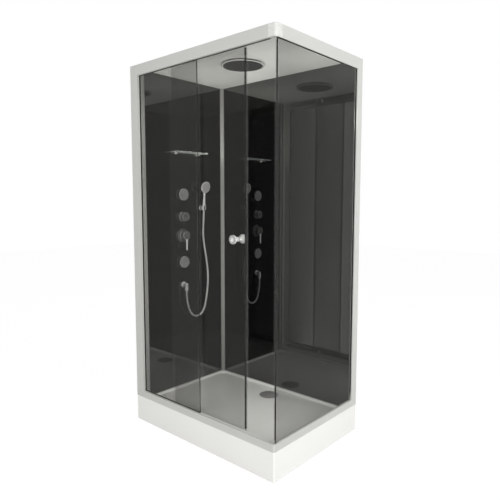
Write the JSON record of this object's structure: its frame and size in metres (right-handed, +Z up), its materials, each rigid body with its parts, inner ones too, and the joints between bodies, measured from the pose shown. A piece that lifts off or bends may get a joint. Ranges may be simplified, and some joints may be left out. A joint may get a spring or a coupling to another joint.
{
  "type": "shower cabin",
  "caption": "Rectangular corner shower cabin: low tray, smoked glass with a sliding door, black glass walls, rain head, swivel body jets, lever mixer, diverter, hand shower and shelf.",
  "frame": {"origin": "centre of the whole object's box, on the floor", "axes": "+X along the sliding front towards the side glass, +Y from the front to the back wall, +Z up"},
  "size_m": [1.133, 0.778, 2.179],
  "materials": {
    "tray_acrylic": "gloss",
    "frame_satin": "satin",
    "corner_white": "gloss",
    "trim_grey": "satin",
    "black_glass": "gloss",
    "smoked_glass": "clear",
    "shelf_glass": "clear",
    "roof_white": "satin",
    "gasket_rubber": "matte",
    "clear_seal": "translucent",
    "nylon_white": "satin",
    "fitting_chrome": "polished",
    "drain_chrome": "polished",
    "nozzle_plastic": "satin",
    "valve_brass": "cast",
    "pipe_steel": "satin",
    "hose_steel": "polished",
    "zinc_steel": "galvanised",
    "trap_plastic": "matte"
  },
  "bodies": {
    "cabin": {"shower_tray": "tray_acrylic", "tray_frame": "zinc_steel", "levelling_feet": "zinc_steel", "drain_flange": "drain_chrome", "drain_trap": "trap_plastic", "bottom_rail_front": "frame_satin", "bottom_rail_side": "frame_satin", "top_rail_front": "frame_satin", "top_rail_side": "frame_satin", "top_rail_left": "frame_satin", "top_rail_back": "frame_satin", "corner_cap_bottom": "corner_white", "corner_cap_top": "corner_white", "post_front_left": "frame_satin", "post_rear_right": "frame_satin", "post_rear_left": "frame_satin", "corner_trim": "trim_grey", "wall_trims": "trim_grey", "left_wall_panel": "black_glass", "back_wall_panel": "black_glass", "roof_panel": "roof_white", "fixed_front_glass": "smoked_glass", "side_glass": "smoked_glass", "glass_gaskets": "gasket_rubber", "side_magnet_seal": "clear_seal", "fixed_glass_seal": "clear_seal", "rain_head_body": "fitting_chrome", "rain_head_face": "nozzle_plastic", "rain_head_elbow": "valve_brass", "feed_pipes": "pipe_steel", "pipe_clips": "nylon_white", "jet_bases": "fitting_chrome", "diverter_body": "valve_brass", "diverter_rosette": "fitting_chrome", "mixer_body": "valve_brass", "mixer_rosette": "fitting_chrome", "hose_outlet": "fitting_chrome", "hand_shower_holder": "fitting_chrome", "hose_nut_lower": "fitting_chrome", "shower_hose": "hose_steel", "shelf_plate": "shelf_glass", "shelf_brackets": "fitting_chrome"},
    "door": {"door_glass": "smoked_glass", "door_magnet_seal": "clear_seal", "door_trailing_seal": "clear_seal", "roller_mounts": "fitting_chrome", "guide_blocks": "nylon_white", "door_knob_outer": "fitting_chrome", "door_knob_inner": "fitting_chrome"},
    "wheel_left": {"top_wheel_left": "nylon_white"},
    "wheel_right": {"top_wheel_right": "nylon_white"},
    "diverter_handle": {"diverter_knob": "fitting_chrome"},
    "mixer_stem": {"mixer_spindle": "fitting_chrome"},
    "mixer_handle": {"mixer_lever": "fitting_chrome"},
    "upper_jet": {"upper_jet_head": "fitting_chrome"},
    "lower_jet": {"lower_jet_head": "fitting_chrome"},
    "handset": {"hand_shower": "fitting_chrome", "hand_shower_face": "nozzle_plastic", "hose_nut_upper": "fitting_chrome"},
    "drain_lid": {"drain_cover": "drain_chrome"}
  },
  "joints": [
    {"name": "door_slide", "type": "slide", "parent": "cabin", "child": "door", "axis": [1, 0, 0], "range_m": [-0.245, 0.1725]},
    {"name": "wheel_left_spin", "type": "hinge", "parent": "door", "child": "wheel_left", "pos_m": [-0.1455, -0.357, 2.1208], "axis": [0, 1, 0], "range_deg": [-1340, 945]},
    {"name": "wheel_right_spin", "type": "hinge", "parent": "door", "child": "wheel_right", "pos_m": [0.2955, -0.357, 2.1208], "axis": [0, 1, 0], "range_deg": [-1340, 945]},
    {"name": "diverter_turn", "type": "hinge", "parent": "cabin", "child": "diverter_handle", "pos_m": [-0.5165, -0.0115, 1.261], "axis": [1, 0, 0], "range_deg": [-90, 90]},
    {"name": "mixer_turn", "type": "hinge", "parent": "cabin", "child": "mixer_stem", "pos_m": [-0.4945, -0.0115, 1.137], "axis": [1, 0, 0], "range_deg": [-50, 50]},
    {"name": "mixer_lift", "type": "hinge", "parent": "mixer_stem", "child": "mixer_handle", "pos_m": [-0.4945, -0.0115, 1.137], "axis": [0, -1, 0], "range_deg": [0, 25]},
    {"name": "upper_jet_tilt", "type": "hinge", "parent": "cabin", "child": "upper_jet", "pos_m": [-0.5045, -0.0115, 1.406], "axis": [0, 1, 0], "range_deg": [-7, 7]},
    {"name": "lower_jet_tilt", "type": "hinge", "parent": "cabin", "child": "lower_jet", "pos_m": [-0.5045, -0.0115, 0.961], "axis": [0, 1, 0], "range_deg": [-7, 7]},
    {"name": "hand_shower_lift", "type": "slide", "parent": "cabin", "child": "handset", "axis": [0.061, 0, 0.9981], "range_m": [0, 0.06]},
    {"name": "drain_cover_lift", "type": "slide", "parent": "cabin", "child": "drain_lid", "axis": [0, 0, 1], "range_m": [0, 0.04]}
  ],
  "couplings": [
    {"joint": "wheel_left_spin", "follows": "door_slide", "rad_per_m": 95.238},
    {"joint": "wheel_right_spin", "follows": "door_slide", "rad_per_m": 95.238}
  ]
}
